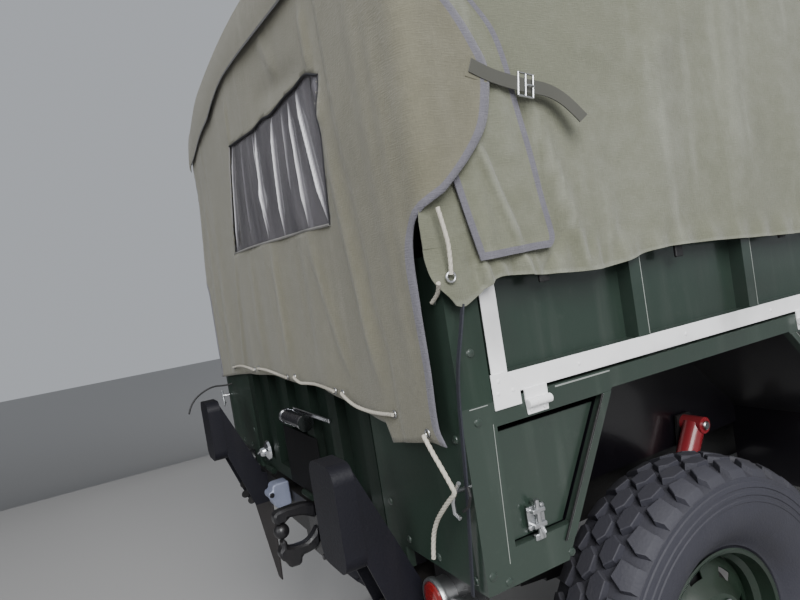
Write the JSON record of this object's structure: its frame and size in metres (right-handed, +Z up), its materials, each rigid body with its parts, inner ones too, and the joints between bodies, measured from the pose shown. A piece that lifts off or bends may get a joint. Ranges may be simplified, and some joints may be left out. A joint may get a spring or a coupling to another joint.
{
  "type": "light military cargo truck",
  "caption": "Light all-wheel-drive army cargo truck with a forward-control cab and a canvas tilt over a drop-sided bed; doors, sides, tailgate and lockers open.",
  "frame": {"origin": "on the ground, below the middle of the overall length and width", "axes": "+X to the truck's front, +Y to its left, +Z up"},
  "size_m": [4.127, 2.23, 2.24],
  "materials": {
    "body_green": "semi-gloss bronze green paint",
    "chassis_black": "satin black paint",
    "bright_aluminium": "bright brushed",
    "canvas": "olive proofed cotton canvas",
    "clear_window": "clear flexible sheet",
    "rope_white": "laid cord",
    "tyre_rubber": "matte black",
    "black_rubber": "matte black",
    "damper_red": "red paint",
    "seat_cover": "dark leathercloth",
    "clear_glass": "clear",
    "lamp_glass": "coloured and clear lenses",
    "mirror_black": "matte black"
  },
  "bodies": {
    "truck": {"chassis_frame": "chassis_black", "rear_axle": "chassis_black", "front_axle": "chassis_black", "leaf_springs": "chassis_black", "shock_absorbers": "damper_red", "engine_block": "chassis_black", "drive_line": "chassis_black", "fuel_tank": "chassis_black", "exhaust": "chassis_black", "front_bumper": "chassis_black", "rear_buffers": "chassis_black", "tow_pintle": "chassis_black", "trailer_socket": "chassis_black", "mudflaps": "black_rubber", "bed_floor": "body_green", "rear_posts": "body_green", "side_locker": "body_green", "side_box_right": "body_green", "side_box_left": "body_green", "tilt_hoops": "body_green", "tilt": "canvas", "rear_curtain": "canvas", "curtain_window": "clear_window", "tilt_skirt_right": "canvas", "tilt_skirt_left": "canvas", "curtain_rope": "rope_white", "cab_shell": "body_green", "grille": "body_green", "windscreen_frame": "body_green", "windscreen_glass": "clear_glass", "seat_frames": "body_green", "seat_cushions": "seat_cover", "steering_wheel": "black_rubber", "engine_cover": "body_green", "mirrors": "mirror_black", "lamps": "lamp_glass", "rim_spare": "body_green", "tyre_spare": "tyre_rubber"},
    "knuckle_right": {"knuckle_right": "chassis_black"},
    "knuckle_left": {"knuckle_left": "chassis_black"},
    "door_right": {"door_right": "body_green", "door_glass_right": "clear_glass"},
    "door_left": {"door_left": "body_green", "door_glass_left": "clear_glass"},
    "drop_side_right": {"drop_side_right": "body_green", "side_bars_right": "bright_aluminium"},
    "drop_side_left": {"drop_side_left": "body_green", "side_bars_left": "bright_aluminium"},
    "tailgate": {"tailgate": "body_green"},
    "locker_door_right": {"locker_door_right": "body_green"},
    "locker_door_left": {"locker_door_left": "body_green"},
    "side_locker_door": {"side_locker_door": "body_green"},
    "wheel_front_right": {"tyre_front_right": "tyre_rubber", "rim_front_right": "body_green"},
    "wheel_front_left": {"tyre_front_left": "tyre_rubber", "rim_front_left": "body_green"},
    "wheel_rear_right": {"tyre_rear_right": "tyre_rubber", "rim_rear_right": "body_green"},
    "wheel_rear_left": {"tyre_rear_left": "tyre_rubber", "rim_rear_left": "body_green"}
  },
  "joints": [
    {"name": "steer_right", "type": "hinge", "parent": "truck", "child": "knuckle_right", "pos_m": [1.3735, -0.64, 0.446], "axis": [0, 0, 1], "range_deg": [-28, 28]},
    {"name": "steer_left", "type": "hinge", "parent": "truck", "child": "knuckle_left", "pos_m": [1.3735, 0.64, 0.446], "axis": [0, 0, 1], "range_deg": [-28, 28]},
    {"name": "roll_front_right", "type": "hinge", "parent": "knuckle_right", "child": "wheel_front_right", "pos_m": [1.3735, -0.762, 0.446], "axis": [0, 1, 0], "continuous": true},
    {"name": "roll_front_left", "type": "hinge", "parent": "knuckle_left", "child": "wheel_front_left", "pos_m": [1.3735, 0.762, 0.446], "axis": [0, 1, 0], "continuous": true},
    {"name": "roll_rear_right", "type": "hinge", "parent": "truck", "child": "wheel_rear_right", "pos_m": [-1.1915, -0.7745, 0.446], "axis": [0, 1, 0], "continuous": true},
    {"name": "roll_rear_left", "type": "hinge", "parent": "truck", "child": "wheel_rear_left", "pos_m": [-1.1915, 0.7745, 0.446], "axis": [0, 1, 0], "continuous": true},
    {"name": "door_right_hinge", "type": "hinge", "parent": "truck", "child": "door_right", "pos_m": [1.6385, -0.918, 1.24], "axis": [0, 0, 1], "range_deg": [0, 70]},
    {"name": "door_left_hinge", "type": "hinge", "parent": "truck", "child": "door_left", "pos_m": [1.6385, 0.918, 1.24], "axis": [0, 0, -1], "range_deg": [0, 70]},
    {"name": "drop_side_right_hinge", "type": "hinge", "parent": "truck", "child": "drop_side_right", "pos_m": [-0.655, -0.93, 1.186], "axis": [-1, 0, 0], "range_deg": [-170, 0], "deforming": ["tilt_skirt_right"]},
    {"name": "drop_side_left_hinge", "type": "hinge", "parent": "truck", "child": "drop_side_left", "pos_m": [-0.655, 0.93, 1.186], "axis": [1, 0, 0], "range_deg": [-170, 0], "deforming": ["tilt_skirt_left"]},
    {"name": "tailgate_hinge", "type": "hinge", "parent": "truck", "child": "tailgate", "pos_m": [-1.9045, 0, 0.84], "axis": [0, -1, 0], "range_deg": [0, 90], "deforming": ["rear_curtain", "curtain_window", "curtain_rope"]},
    {"name": "locker_door_right_hinge", "type": "hinge", "parent": "truck", "child": "locker_door_right", "pos_m": [-1.6985, -0.893, 1.136], "axis": [-1, 0, 0], "range_deg": [0, 80]},
    {"name": "locker_door_left_hinge", "type": "hinge", "parent": "truck", "child": "locker_door_left", "pos_m": [-1.6985, 0.893, 1.136], "axis": [1, 0, 0], "range_deg": [0, 80]},
    {"name": "side_locker_door_hinge", "type": "hinge", "parent": "truck", "child": "side_locker_door", "pos_m": [-0.02, -0.893, 1.13], "axis": [-1, 0, 0], "range_deg": [0, 80]}
  ],
  "couplings": [
    {"joint": "steer_left", "follows": "steer_right", "ratio": 1}
  ]
}
